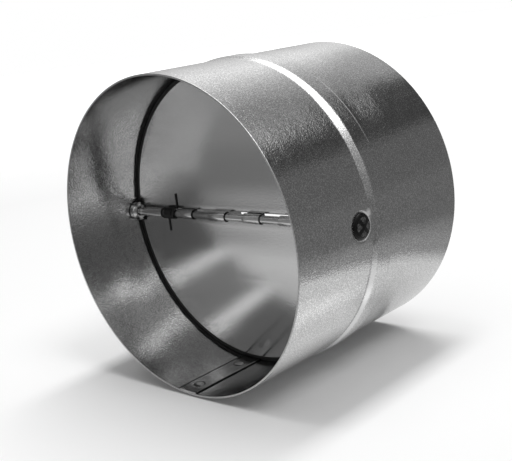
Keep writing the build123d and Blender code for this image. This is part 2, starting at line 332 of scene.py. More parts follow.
# %% Aluminium sheet
def aluminium_sheet():
    """Mill finish: a pale satin mirror with faint rolling lines and no flecks."""
    material, tree, place = new_material("aluminium_sheet_mill_finish")
    height = add_node(tree, "SeparateXYZ", {"Vector": place}).outputs["Z"]
    from_shaft = add_node(tree, "Math", {0: height}, operation="ABSOLUTE")
    ends = {0: from_shaft, 1: 4 * MM, 2: 16 * MM}
    off_edge = add_node(tree, "MapRange", ends, interpolation_type="SMOOTHSTEP")
    patch = patches(tree, place, {"buckles": (45.0, 0), "grain": (0.8, 2)})
    buckle = add_node(tree, "Math", {0: patch["buckles"], 1: off_edge}, operation="MULTIPLY")
    rolled = (1 / (25 * MM), 1 / (0.6 * MM), 1 / (0.6 * MM))
    stretch = add_node(tree, "Mapping", {"Vector": place, "Scale": rolled})
    lines = add_node(tree, "TexNoise", {"Vector": stretch, "Scale": 1.0, "Detail": 2.0})
    lean = add_node(tree, "MapRange", {0: height, 1: -26 * MM, 2: 0.0, 3: -0.7, 4: 0.0})
    normal = relief(tree, [(lean, 1.0), (buckle, 0.9), (lines, 0.004), (patch["grain"], 0.02)])
    inputs = {0: patch["grain"], 6: linear("cbcbcb"), 7: linear("d5d5d5")}
    tint = add_node(tree, "Mix", inputs, data_type="RGBA").outputs[2]
    inputs = {"Base Color": tint, "Metallic": 1.0, "Roughness": 0.2, "Normal": normal}
    add_node(tree, "OutputMaterial", {"Surface": add_node(tree, "BsdfPrincipled", inputs)})
    return material


blade_metal = aluminium_sheet()
print("material", blade_metal.name)

# %% [markdown]
# ## Cut edges, painted shade and painted highlights
#
# Where sheet is sheared, or where two sheets meet, the mirror ends. These places are small, but they
# draw the lines that make a sheet look thin and a joint look like a joint. All of them are dull and
# patchy at half a millimetre, so one recipe with two shades each serves for the blades' cut edges,
# darkened further as painted shade, the tube's rims, painted bright as a highlight line, the painted
# shade along the seam and in the clinch rings, and the painted highlights on the screws' heads.


# %% Cut edges, painted shade and painted highlights
def dull_patches(name, dark, light, metallic=1.0):
    """Dull metal with no mirror, only spots of two shades: cut edges, painted shade and highlights."""
    material, tree, place = new_material(name)
    spots = patches(tree, place, {"spots": (0.5, 2)})["spots"]
    share = add_node(tree, "MapRange", {0: spots, 1: 0.35, 2: 0.65})
    tint = add_node(tree, "Mix", {0: share, 6: linear(dark), 7: linear(light)}, data_type="RGBA")
    inputs = {"Base Color": tint.outputs[2], "Metallic": metallic, "Roughness": 0.5}
    add_node(tree, "OutputMaterial", {"Surface": add_node(tree, "BsdfPrincipled", inputs)})
    return material


# the blades' cut edges: rough cut aluminium, darkened further as painted shade of the gaps beside them
blade_edge_metal_and_shade = dull_patches("aluminium_cut_edge_painted_shade", "1c1c1c", "343434")
# the tube's rims: painted bright as a highlight line
rim_highlight_zinc = dull_patches("painted_rim_highlight", "b0b0b0", "d8d8d8")
# painted shade along the seam's sides and in the clinch rings
seam_shade_paint = dull_patches("painted_shade_at_the_seam", "1c1c1c", "3c3c3c")
# painted highlights between the arms of the screws' cross recesses
recess_lobe_highlight = dull_patches("black_oxide_painted_highlight", "0c0c0c", "505050", 0.0)
print("materials", [m.name for m in (blade_edge_metal_and_shade, rim_highlight_zinc, seam_shade_paint, recess_lobe_highlight)])

# %% [markdown]
# ## Plated steel and blackened steel
#
# The shaft and its bushes are turned and zinc plated, so fine rings run round them and stretch each
# highlight along the shaft. The screws and the spring are blackened: the oxide is no mirror any more,
# and only a weak shine is left, weaker on the screws than on the drawn wire.


# %% Plated steel and blackened steel
def plated_steel_finish():
    """Zinc plate on turned steel: bright, with fine turning marks a quarter of a millimetre apart."""
    material, tree, place = new_material("zinc_plated_steel")
    turned = (1 / (0.25 * MM), 1 / (3 * MM), 1 / (3 * MM))
    stretch = add_node(tree, "Mapping", {"Vector": place, "Scale": turned})
    marks = add_node(tree, "TexNoise", {"Vector": stretch, "Scale": 1.0, "Detail": 2.0})
    normal = relief(tree, [(marks, 0.006)])
    inputs = {"Base Color": linear("c4c4c4"), "Metallic": 1.0, "Roughness": 0.2, "Normal": normal}
    add_node(tree, "OutputMaterial", {"Surface": add_node(tree, "BsdfPrincipled", inputs)})
    return material


def fine_black(name, pattern, shades, depth, finish):
    """A black surface with cloudy shades and a fine bump: patterns as (size in mm, finer layers)."""
    material, tree, place = new_material(name)
    patch = patches(tree, place, pattern)
    dark, light = shades
    inputs = {0: patch["shade"], 6: linear(dark), 7: linear(light)}
    tint = add_node(tree, "Mix", inputs, data_type="RGBA").outputs[2]
    normal = relief(tree, [(patch["bump"], depth)])
    inputs = {"Base Color": tint, "Metallic": 0.0, "Normal": normal, **finish}
    add_node(tree, "OutputMaterial", {"Surface": add_node(tree, "BsdfPrincipled", inputs)})
    return material


def black_oxide(name, grain_size, finish):
    """Blackened steel: the oxide's grain gives both the shades and the bump."""
    grain = {"shade": (grain_size, 3), "bump": (grain_size, 3)}
    return fine_black(name, grain, ("080808", "161616"), 0.02, finish)


plated_steel = plated_steel_finish()
screw_black = black_oxide("black_oxide_steel_screw", 0.6, {"Roughness": 0.25, "Specular IOR Level": 0.2})
wire_black = black_oxide("black_oxide_spring_wire", 0.3, {"Roughness": 0.4, "Specular IOR Level": 0.5})
print("materials", [m.name for m in (plated_steel, screw_black, wire_black)])

# %% [markdown]
# ## Rubber
#
# The seal is moulded from black EPDM, the rubber of ducts and door seals. It scatters what little it
# gives back, and a bloom of wax drifts over it in patches of about a centimetre, so it reads as soft.

# %% Rubber
rubber_patterns = {"shade": (9.0, 2), "bump": (0.5, 3)}
rubber_shades = ("080808", "141414")
seal_rubber = fine_black("black_epdm_rubber", rubber_patterns, rubber_shades, 0.03, {"Roughness": 0.55})
print("material", seal_rubber.name)

# %% [markdown]
# ## The tube
#
# The casing is one strip, rolled round and locked along the bottom. A bead is pressed outwards just
# behind the shaft, and it fades out round each pivot screw, which sits in a shallow dimple.
# A thin closed profile of the wall is spun in sections, with close steps only where something is
# pressed into the sheet. Then the skin is moved in and out by the shapes of the bead and the dimples,
# which keeps one unbroken sheet where a cut-out of solids would leave creases.

# %% Pressed sheet
seam_line = -98.2
seam_line_depth = 0.15
dimple_depth = 0.5
dimple_reach = (5.0, 6.0)
bead_gap = (8.6, 11.0)


def ease(low, high, value):
    """A smooth step from 0 to 1."""
    t = min(max((value - low) / (high - low), 0.0), 1.0)
    return t * t * (3 - 2 * t)


def split_long_edges(bm, low, high, size):
    """Divide the profile's edges that run along the tube between two places."""
    for edge in bm.edges[:]:
        first, last = (vert.co.y / MM for vert in edge.verts)
        if min(first, last) > low - 0.01 and max(first, last) < high + 0.01:
            cuts = int(abs(last - first) / size)
            if cuts > 0:
                bmesh.ops.subdivide_edges(bm, edges=[edge], cuts=cuts)


def press_sheet(bm):
    """Fade the bead out round each screw and press the dimples."""
    middle = wall_outer - sheet / 2
    for vert in bm.verts:
        radius = hypot(vert.co.x, vert.co.z) / MM
        reach = hypot(vert.co.y, vert.co.z) / MM
        new_radius = radius
        if radius > wall_outer:
            new_radius = wall_outer + (radius - wall_outer) * ease(*bead_gap, reach)
        new_radius -= dimple_depth * (1 - ease(*dimple_reach, reach))
        turn = degrees(atan2(vert.co.z, vert.co.x))
        if radius > middle:
            new_radius -= seam_line_depth * (1 - ease(0.1, 0.22, abs(turn - seam_line)))
        vert.co.x *= new_radius / radius
        vert.co.z *= new_radius / radius


print("the bead ends", bead_gap, "mm from each screw, dimples are", dimple_depth, "mm deep")

# %% Tube wall
near_rim = 0.3
pressed_to = 9.0

bm = bmesh.new()
wall = flat_profile(
    bm,
    [
        (wall_inner, front_rim),
        (wall_outer, front_rim),
        (wall_outer, front_rim + near_rim),
        (wall_outer, -8.0),
        (wall_outer, bead_start),
        (bead_crown, bead_start + bead_front_slope),
        (bead_crown, bead_end - bead_rear_slope),
        (wall_outer, bead_end),
        (wall_outer, rear_rim - near_rim),
        (wall_outer, rear_rim),
        (wall_inner, rear_rim),
        (wall_inner, rear_rim - near_rim),
        (wall_inner, pressed_to),
        (wall_inner, -pressed_to),
        (wall_inner, front_rim + near_rim),
    ],
    (1, 0, 0),
    (0, 1, 0),
)
at_rims = [v for v in wall.verts if min(abs(v.co.y / MM - rim) for rim in (front_rim, rear_rim)) < 0.01]
round_corners(bm, at_rims, 0.16, 2)
bends = [v for v in bm.verts if min(abs(v.co.y / MM - foot) for foot in (bead_start, bead_end)) < 0.01]
bends += [v for v in bm.verts if v.co.x / MM > bead_crown - 0.01]
round_corners(bm, bends, 0.55, 4)
split_long_edges(bm, -8.1, bead_end + 0.5, 0.45)
split_long_edges(bm, front_rim + 0.29, -7.9, 3.0)
split_long_edges(bm, bead_end, rear_rim - 0.29, 4.5)
keep_outline(bm)
profile = bm.verts[:] + bm.edges[:]
bmesh.ops.rotate(bm, verts=bm.verts[:], cent=(0, 0, 0), matrix=Matrix.Rotation(radians(11), 3, "Y"))
# a full turn from 11 degrees short of a screw, in close steps at the screws and the seam's line only
for turn, steps in ((22, 88), (158, 112), (22, 88), (69.9, 50), (1.4, 14), (86.7, 62)):
    profile = spin_ring(bm, profile, (0, -1, 0), turn, steps)
bmesh.ops.remove_doubles(bm, verts=bm.verts[:], dist=0.01 * MM)
press_sheet(bm)
# the faces at both rims take a brighter zinc, painted as the highlight line along each rim
for face in bm.faces:
    if not front_rim + 0.05 < face.calc_center_median().y / MM < rear_rim - 0.05:
        face.material_index = 1
casing_wall = finish_piece("casing_wall", bm, zinc_skin, "frame", "casing", 40)
casing_wall.data.materials.append(rim_highlight_zinc)

# %% [markdown]
# ## The lock seam
#
# The two ends of the strip are hooked into each other along the bottom and pressed flat, which leaves
# a raised strip inside the tube, with painted shade along its sides. Round clinch marks hold it, each
# with a ring of painted shade. The strip is a flat bar bent by a short spin, and the painted shade
# beside it is a lower and wider bar of the same kind.

# %% Lock seam
seam_arc = 8.75
seam_rise = 0.55
shade_bar_rise = 0.06
shade_bar_turn = 0.2
seal_front = 2.36


def seam_strip(name, start, end, rise, extra, metal):
    """One length of the raised seam, with painted shade on its edges, or of the painted shade beside it."""
    bm = bmesh.new()
    first = radians(seam_line - extra)
    flat_profile(
        bm,
        [
            (wall_inner - rise, start),
            (wall_inner + 0.1, start),
            (wall_inner + 0.1, end),
            (wall_inner - rise, end),
        ],
        (cos(first), 0, sin(first)),
        (0, 1, 0),
    )
    bar = bm.faces[:] + bm.edges[:] + bm.verts[:]
    spin_ring(bm, bar, (0, -1, 0), seam_arc + 2 * extra, 14)
    bmesh.ops.remove_doubles(bm, verts=bm.verts[:], dist=0.002 * MM)
    sharp = [edge for edge in bm.edges if edge.is_manifold and edge.calc_face_angle(0) > radians(60)]
    bmesh.ops.bevel(
        bm,
        geom=sharp,
        offset=0.25 * rise * MM,
        segments=2,
        profile=0.5,
        affect="EDGES",
        material=-1,
        clamp_overlap=True,
    )
    # the faces along the strip's long edges take the painted shade
    for face in bm.faces:
        middle = face.calc_center_median()
        turn = degrees(atan2(middle.z, middle.x)) - seam_line
        if not 0.4 <= turn <= seam_arc - 0.05:
            face.material_index = 1
    strip = finish_piece(name, bm, metal, "frame", None, 50)
    strip.data.materials.append(seam_shade_paint)


for where, start, end in (
    ("front", front_rim + 0.05, seal_front - 0.3),
    ("rear", bead_end + 0.3, rear_rim - 0.05),
):
    seam_strip(f"seam_{where}_strip", start, end, seam_rise, 0.0, zinc_skin)
    seam_strip(f"seam_{where}_gap", start, end, shade_bar_rise, shade_bar_turn, seam_shade_paint)

# %% Clinch marks
clinch_setbacks = (6.8, 29.6)
clinch_ring = (1.85, 2.5)
# from under the seam up over a shallow ring to a low dome with a dent in it, as reach and height
clinch_rise = [(0, -0.3), (2.45, -0.3), (2.4, 0.03), (1.95, 0.04)]
clinch_rise += [(1.6, 0.3), (1.0, 0.36), (0.5, 0.3), (0, 0.3)]


def clinch_mark(name, row):
    """A round punch mark on the seam: a low dome with a shallow ring round it."""
    bm = bmesh.new()
    flat_profile(bm, clinch_rise, (1, 0, 0), (0, 0, 1))
    keep_outline(bm, "x")
    spin_ring(bm, bm.verts[:] + bm.edges[:], (0, 0, 1), 360, 40)
    # the shallow ring round each mark is painted dark as its shade
    for face in bm.faces:
        if clinch_ring[0] < hypot(*face.calc_center_median()[:2]) / MM < clinch_ring[1]:
            face.material_index = 1
    middle = radians(seam_line + seam_arc / 2)
    inwards = Vector((-cos(middle), 0, -sin(middle)))
    place = -inwards * (wall_inner - seam_rise) * MM + Vector((0, row * MM, 0))
    turn = Vector((0, 0, 1)).rotation_difference(inwards).to_matrix().to_4x4()
    bmesh.ops.transform(bm, matrix=Matrix.Translation(place) @ turn, verts=bm.verts[:])
    mark = finish_piece(name, bm, zinc_skin, "frame", None, 60)
    mark.data.materials.append(seam_shade_paint)


rows = [front_rim + setback for setback in clinch_setbacks]
rows += [rear_rim - setback for setback in reversed(clinch_setbacks)]
for number, row in enumerate(rows):
    clinch_mark(f"clinch_mark_{number}", row)

# %% [markdown]
# ## The seal ring
#
# A moulded rubber ring sits in the hollow of the bead. Its lip stands behind the blades, and at each
# end of the shaft it swells towards the bush and lies against it. The ring is a spun profile with
# rounded corners that is drawn forwards near the bushes, and a small spun pad lies behind each bush.
# Spinning keeps the lip even all the way round, so the gap that the blades close reads as one line.

# %% Seal ring
lip_inner = blade_radius - 2.0
lip_rear = seal_front + 2.0
band_inner = wall_inner - 1.9
band_outer = wall_inner - 0.03
band_rear = 15.7
ridge_middle = (blade_radius + wall_inner) / 2
ridge_front = seal_front - 0.4
swell_depth = 1.8
swell_heights = (3.4, 6.6)
swell_curve = 1.6
swell_rear = 9.0

bm = bmesh.new()
ring_face = flat_profile(
    bm,
    [
        (lip_inner, seal_front),
        (ridge_middle - 0.75, seal_front),
        (ridge_middle - 0.3, ridge_front),
        (ridge_middle + 0.3, ridge_front),
        (ridge_middle + 0.75, seal_front),
        (band_outer, seal_front),
        (band_outer, band_rear),
        (band_inner, band_rear),
        (band_inner, lip_rear),
        (lip_inner, lip_rear),
    ],
    (1, 0, 0),
    (0, 1, 0),
)
round_corners(bm, list(ring_face.verts), 0.22, 3)
keep_outline(bm)
profile = bm.verts[:] + bm.edges[:]
bmesh.ops.rotate(bm, verts=bm.verts[:], cent=(0, 0, 0), matrix=Matrix.Rotation(radians(14), 3, "Y"))
for turn, steps in ((28, 56), (152, 96), (28, 56), (152, 96)):
    profile = spin_ring(bm, profile, (0, -1, 0), turn, steps)
bmesh.ops.remove_doubles(bm, verts=bm.verts[:], dist=0.01 * MM)
# the front of the ring swells forwards where it passes a bush, and most at the tube's wall
for vert in bm.verts:
    radius = hypot(vert.co.x, vert.co.z) / MM
    height = abs(vert.co.z) / MM
    near_wall = ease(ridge_middle - 0.6, wall_inner - 0.3, radius)
    near_front = 1 - ease(seal_front + 0.2, swell_rear, vert.co.y / MM)
    swell = swell_depth * (1 - ease(*swell_heights, height)) ** swell_curve
    vert.co.y -= swell * near_wall * near_front * MM
finish_piece("seal_band", bm, seal_rubber, "frame", "seal_ring", 50)

# %% Seal pads
pad_back = 1.6
# a low cushion with a sloping rim, as reach and height above the wall
pad_rise = [(0.0, 0.0), (0.0, 1.4), (4.1, 1.4), (4.6, 0.7), (4.8, 0.0)]


def seal_pad(name, side):
    """The soft pad of the seal under and behind one bush, laid into the curve of the wall."""
    bm = bmesh.new()
    pad = flat_profile(bm, pad_rise, (0, 1, 0), (-1, 0, 0))
    round_corners(bm, [v for v in pad.verts if v.co.x < -0.5 * MM and v.co.y > 1 * MM], 0.3, 3)
    keep_outline(bm, "y")
    spin_ring(bm, bm.verts[:] + bm.edges[:], (1, 0, 0), 360, 64)
    for vert in bm.verts:
        depth = -vert.co.x / MM
        wall = (wall_inner**2 - (vert.co.z / MM) ** 2) ** 0.5
        vert.co.x = side * (min(wall, bush_seat) - depth - 0.02) * MM
        vert.co.y += pad_back * MM
    finish_piece(name, bm, seal_rubber, "frame", None, 50)


seal_pad("seal_pad_right", 1)
seal_pad("seal_pad_left", -1)

# %% [markdown]
# ## The shaft, its bushes and the screws
#
# The shaft is a plain plated rod. Each bush is a turned boss with a rounded shoulder, held from outside
# by a black pan head screw. All are turned parts, so each is a profile spun about the shaft's line,
# and the same few corners give the flat face, the shoulder and the soft edge that catches the light.

# %% Shaft
bm = bmesh.new()
rod = flat_profile(
    bm,
    [(0, -shaft_end), (shaft_radius, -shaft_end), (shaft_radius, shaft_end), (0, shaft_end)],
    (0, 0, 1),
    (1, 0, 0),
)
round_corners(bm, [v for v in rod.verts if v.co.z > 1 * MM], 0.3, 2)
keep_outline(bm, "z")
spin_ring(bm, bm.verts[:] + bm.edges[:], (1, 0, 0), 360, 48)
finish_piece("pivot_rod", bm, plated_steel, "frame", "pivot_shaft", 40)

# %% Bushes
bush_radius = 4.0
bush_face_radius = 2.75
bush_shoulder = 0.9
bush_bore = shaft_radius + 0.02


def bush_boss(name, side, node):
    """A turned bush with a stepped and rounded front."""
    bm = bmesh.new()
    boss = flat_profile(
        bm,
        [
            (bush_bore, bush_face),
            (bush_face_radius, bush_face),
            (bush_radius, bush_face + bush_shoulder),
            (bush_radius, bush_seat),
            (bush_bore, bush_seat),
        ],
        (0, 0, 1),
        (side, 0, 0),
    )
    shoulder = [v for v in boss.verts if abs(v.co.x) < (bush_face + 1.0) * MM and v.co.z > 2.5 * MM]
    round_corners(bm, shoulder, 0.35, 4)
    keep_outline(bm)
    spin_ring(bm, bm.verts[:] + bm.edges[:], (1, 0, 0), 360, 64)
    finish_piece(name, bm, plated_steel, "frame", node, 40)


bush_boss("right_bush_boss", 1, "right_bush")
bush_boss("left_bush_boss", -1, "left_bush")

# %% [markdown]
# ## The cross recess
#
# The screw's head is a low dome over a short straight edge. Its cross recess is marked out on the dome
# by straight cuts, and the marked faces are pushed in and drawn together, the way a punch forms it.
# Black metal hides its own dents, so the spots between the arms are painted lighter, as highlights,
# and they make the cross readable from afar.

# %% Cross recess
recess_turn = 38
recess_half_width = 0.8
recess_half_length = 3.2
recess_depth = 1.15
lobe_highlight_reach = 3.3


def in_cross(u, v):
    """Whether a point on the head, measured along the cross's two arms, lies in the cross."""
    short, long = sorted((u, v))
    return short < recess_half_width and long < recess_half_length


def punch_cross(bm, side):
    """Push a tapered cross into the face of a screw head."""
    tilt = Matrix.Rotation(radians(recess_turn), 3, "X")
    across = [tilt @ Vector((0, 1, 0)), tilt @ Vector((0, 0, 1))]
    for way in across:
        for offset in (-recess_half_length, -recess_half_width, recess_half_width, recess_half_length):
            dome = [face for face in bm.faces if abs(face.calc_center_median().x) > (screw_top - 0.9) * MM]
            parts = {edge for face in dome for edge in face.edges}
            points = {vert for face in dome for vert in face.verts}
            bmesh.ops.bisect_plane(
                bm,
                geom=dome + list(parts) + list(points),
                plane_co=way * offset * MM,
                plane_no=way,
                dist=1e-7,
            )

    def measure(face):
        middle = face.calc_center_median()
        return abs(middle.x) / MM, *(abs(middle.dot(way)) / MM for way in across)

    measured = [(face, *measure(face)) for face in bm.faces]
    cross = [face for face, height, u, v in measured if height >= screw_top - 0.9 and in_cross(u, v)]
    made = bmesh.ops.extrude_face_region(bm, geom=cross)["geom"]
    floor = [part for part in made if isinstance(part, bmesh.types.BMVert)]
    # the lobes between the cross's arms are painted lighter, as highlights
    for face in bm.faces:
        height, u, v = measure(face)
        if height > screw_top - 0.7 and hypot(u, v) < lobe_highlight_reach and not in_cross(u, v):
            face.material_index = 1
    bmesh.ops.scale(bm, vec=(1, 0.5, 0.5), verts=floor)
    bmesh.ops.translate(bm, verts=floor, vec=(-side * recess_depth * MM, 0, 0))


print("cross", 2 * recess_half_length, "mm over its arms,", 2 * recess_half_width, "mm wide")

# %% Screws
screw_head_height = 1.7
screw_head_radius = 5.0
shank_radius = 2.45
shank_length = 1.2


def pan_head_screw(name, side, node):
    """A pan head screw with its shank, seen from outside the tube."""
    seat = screw_top - screw_head_height
    bm = bmesh.new()
    head = flat_profile(
        bm,
        [
            (0, bush_seat - shank_length),
            (shank_radius, bush_seat - shank_length),
            (shank_radius, seat),
            (screw_head_radius, seat),
            (screw_head_radius, seat + 0.3),
            (4.6, seat + 0.75),
            (3.8, seat + 1.1),
            (2.6, seat + 1.4),
            (0, screw_top),
        ],
        (0, 0, 1),
        (side, 0, 0),
    )
    rounded = [v for v in head.verts if v.co.z > 2 * MM and abs(v.co.x) > (seat + 0.2) * MM]
    round_corners(bm, rounded, 0.4, 4)
    keep_outline(bm, "z")
    spin_ring(bm, bm.verts[:] + bm.edges[:], (1, 0, 0), 360, 96)
    bmesh.ops.remove_doubles(bm, verts=bm.verts[:], dist=0.002 * MM)
    punch_cross(bm, side)
    screw = finish_piece(name, bm, screw_black, "frame", node, 30)
    screw.data.materials.append(recess_lobe_highlight)


pan_head_screw("right_pan_screw", 1, "right_pivot_screw")
pan_head_screw("left_pan_screw", -1, "left_pivot_screw")

# %% [markdown]
# ## The blades
#
# Each blade is a half disc of thin sheet, and along its straight edge three tabs are rolled round the
# shaft. The tabs of one blade fill the gaps of the other. The half disc starts as a round face that
# is cut by planes, and the tabs are edges that are drawn down and then spun round the shaft. The
# sheet gets its thickness last, from a modifier, so the thin roll keeps an even wall.

# %% Blade outline
blade_middle = 1.86
blade_sheet = 0.4
blade_edge = 1.95
knuckle_width = 9.0
knuckle_turn = 300
end_knuckle = bush_face - 0.9
corner_relief = 2.4
knuckles = [(place - knuckle_width / 2, place + knuckle_width / 2) for place in (-28.5, 9.5, 47.5)]
knuckles[-1] = (knuckles[-1][0], end_knuckle)


def half_disc():
    """The flat blank of the upper blade, cut where the tabs begin and end and at its lower corners."""
    bm = bmesh.new()
    bmesh.ops.create_circle(bm, cap_ends=True, segments=288, radius=blade_radius * MM)
    stand = Matrix.Translation((0, blade_middle * MM, 0)) @ Matrix.Rotation(radians(90), 4, "X")
    bmesh.ops.transform(bm, matrix=stand, verts=bm.verts[:])

    def cut(place, normal, drop=False):
        bmesh.ops.bisect_plane(
            bm,
            geom=bm.verts[:] + bm.edges[:] + bm.faces[:],
            plane_co=Vector(place) * MM,
            plane_no=normal,
            clear_inner=drop,
        )

    cut((0, 0, blade_edge), (0, 0, 1), True)
    for start, end in knuckles:
        for side in (start, end):
            cut((side, 0, 0), (1, 0, 0))
    cut((-end_knuckle, 0, 0), (1, 0, 0))
    relief_top = blade_edge + corner_relief
    cut((0, 0, relief_top), (0, 0, 1))
    middles = [(face, face.calc_center_median() / MM) for face in bm.faces]
    low = [face for face, at in middles if abs(at.x) > end_knuckle and at.z < relief_top]
    bmesh.ops.delete(bm, geom=low, context="FACES")
    return bm


def roll_tabs(bm):
    """Draw each tab down from the straight edge and roll it round the shaft."""
    for start, end in knuckles:
        lip = [
            edge
            for edge in bm.edges
            if all(abs(v.co.z / MM - blade_edge) < 0.001 for v in edge.verts)
            and all(start - 0.001 < v.co.x / MM < end + 0.001 for v in edge.verts)
        ]
        drawn = bmesh.ops.extrude_edge_only(bm, edges=lip)["geom"]
        tip = [part for part in drawn if isinstance(part, bmesh.types.BMVert)]
        bmesh.ops.translate(bm, verts=tip, vec=(0, 0, -blade_edge * MM))
        tip_edges = [part for part in drawn if isinstance(part, bmesh.types.BMEdge)]
        tip_edges = [e for e in tip_edges if all(v in tip for v in e.verts)]
        spin_ring(bm, tip + tip_edges, (-1, 0, 0), knuckle_turn, 40)


print("tabs of the upper blade at", [(round(start, 1), round(end, 1)) for start, end in knuckles])


# %% Blades
def blade_sheet_piece(name, half, node, body):
    """One blade: half is 1 for the upper one and -1 for the lower one."""
    bm = half_disc()
    roll_tabs(bm)
    if half < 0:
        bmesh.ops.rotate(bm, verts=bm.verts[:], cent=(0, 0, 0), matrix=Matrix.Rotation(radians(180), 3, "Y"))
    blade = finish_piece(name, bm, blade_metal, body, node, 35)
    thick = blade.modifiers.new("sheet", "SOLIDIFY")
    thick.thickness = blade_sheet * MM
    thick.offset = 0.0
    thick.use_even_offset = True
    # the sheet's cut rim is dark, partly as rough cut metal and partly as painted shade at the ends of the
    # rolled tabs
    blade.data.materials.append(blade_edge_metal_and_shade)
    thick.material_offset_rim = 1
    edge = blade.modifiers.new("soft edge", "BEVEL")
    edge.width = 0.07 * MM
    edge.segments = 2
    edge.limit_method = "ANGLE"
    edge.angle_limit = radians(60)
    edge.harden_normals = False


blade_sheet_piece("upper_blade_sheet", 1, "upper_blade", "upper_flap")
blade_sheet_piece("lower_blade_sheet", -1, "lower_blade", "lower_flap")

# %% [markdown]
# ## The torsion spring
#
# One piece of thin wire is wound on the shaft, and its two ends press on the blades. Here it is three
# pieces, because its ends move with the blades. The wire's round section is spun with a small slide
# along the shaft, which winds a true helix, and straight runs and bends follow in the same way.

# %% Spring coil
wire = 0.3
coil_radius = 2.1
coil_turns = 6
coil_steps = 44
upper_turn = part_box("spring_upper_leg")[1].x / MM - wire
lower_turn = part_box("spring_lower_leg")[0].x / MM + wire
coil_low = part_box("spring_coil")[0].x / MM + wire
coil_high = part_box("spring_coil")[1].x / MM - wire


def wire_section(bm, place, angle):
    """A round section of the wire on the coil, at an angle from the +Y side."""
    made = bmesh.ops.create_circle(bm, cap_ends=True, segments=14, radius=wire * MM)["verts"]
    centre = Vector((place, coil_radius * cos(radians(angle)), coil_radius * sin(radians(angle))))
    ahead = Vector((0, -sin(radians(angle)), cos(radians(angle))))
    turn = Vector((0, 0, 1)).rotation_difference(ahead).to_matrix().to_4x4()
    bmesh.ops.transform(bm, matrix=Matrix.Translation(centre * MM) @ turn, verts=made)


bm = bmesh.new()
wire_section(bm, coil_low, 0)
section = bm.faces[:] + bm.edges[:] + bm.verts[:]
steps = coil_steps * coil_turns
slide = ((coil_high - coil_low) / steps, 0, 0)
spin_ring(bm, section, (1, 0, 0), 360 * coil_turns, steps, slide=slide)
finish_piece("spring_winding", bm, wire_black, "frame", "spring_coil", 60)

# %% Spring legs
leg_line = 1.34
leg_bend_height = 2.1
leg_straighten = 0.35
leg_tip = 8.2
end_turn = 320
# where the wire leaves its round path, the straight line from the turn to the bend touches the turn
bend_reach = hypot(leg_bend_height, leg_line)
leave_turn = degrees(atan2(leg_bend_height, leg_line))
leave_turn -= degrees(atan2((bend_reach**2 - coil_radius**2) ** 0.5, coil_radius))


def wire_leg(name, place, side, node, body):
    """An end turn of the spring and the straight leg that lies on a blade."""
    bm = bmesh.new()
    wire_section(bm, place, leave_turn - end_turn)
    turn_end = spin_ring(bm, bm.faces[:] + bm.edges[:] + bm.verts[:], (1, 0, 0), end_turn, 60)
    ends = [part for part in turn_end if isinstance(part, bmesh.types.BMFace)]

    def run_to(face, centre):
        """Draw the wire on so that its end section sits at a place, square to Z."""
        made = bmesh.ops.extrude_face_region(bm, geom=[face])["geom"]
        section = [part for part in made if isinstance(part, bmesh.types.BMVert)]
        middle = sum((v.co for v in section), Vector()) / len(section)
        face = [part for part in made if isinstance(part, bmesh.types.BMFace)][0]
        face.normal_update()
        aim = Vector((0, 0, 1))
        facing = face.normal if face.normal.dot(aim) > 0 else -face.normal
        turn = facing.rotation_difference(aim).to_matrix().to_4x4()
        move = Matrix.Translation(Vector(centre) * MM) @ turn @ Matrix.Translation(-middle)
        bmesh.ops.transform(bm, matrix=move, verts=section)
        return face

    tip = run_to(ends[0], (place, leg_line, leg_bend_height + leg_straighten))
    run_to(tip, (place, leg_line, leg_tip))
    if side < 0:
        bmesh.ops.scale(bm, vec=(1, 1, -1), verts=bm.verts[:])
    finish_piece(name, bm, wire_black, body, node, 60)


wire_leg("spring_leg_up", upper_turn, 1, "spring_upper_leg", "upper_flap")
wire_leg("spring_leg_down", lower_turn, -1, "spring_lower_leg", "lower_flap")
print("the wire leaves its end turn at", round(leave_turn, 1), "degrees")

# %% [markdown]
# ## The floor and the white surround
#
# The damper lies on plain white paper that runs on to a white surround. A white room all round would
# leave the metal without shape, so the metal doesn't see what the camera sees. A ray that comes off
# something glossy finds lit paper only near the damper, dusk towards the front, and a dark studio
# beyond. Real photographers get there with black cards just outside the picture.

# %% White paper
floor_height = -bead_crown
floor_radius = 4000
lit_middle = (-42, -45)
lit_reach = (174, 192)
matt = {"Roughness": 0.9, "Specular IOR Level": 0.0, "Emission Color": linear("ffffff")}


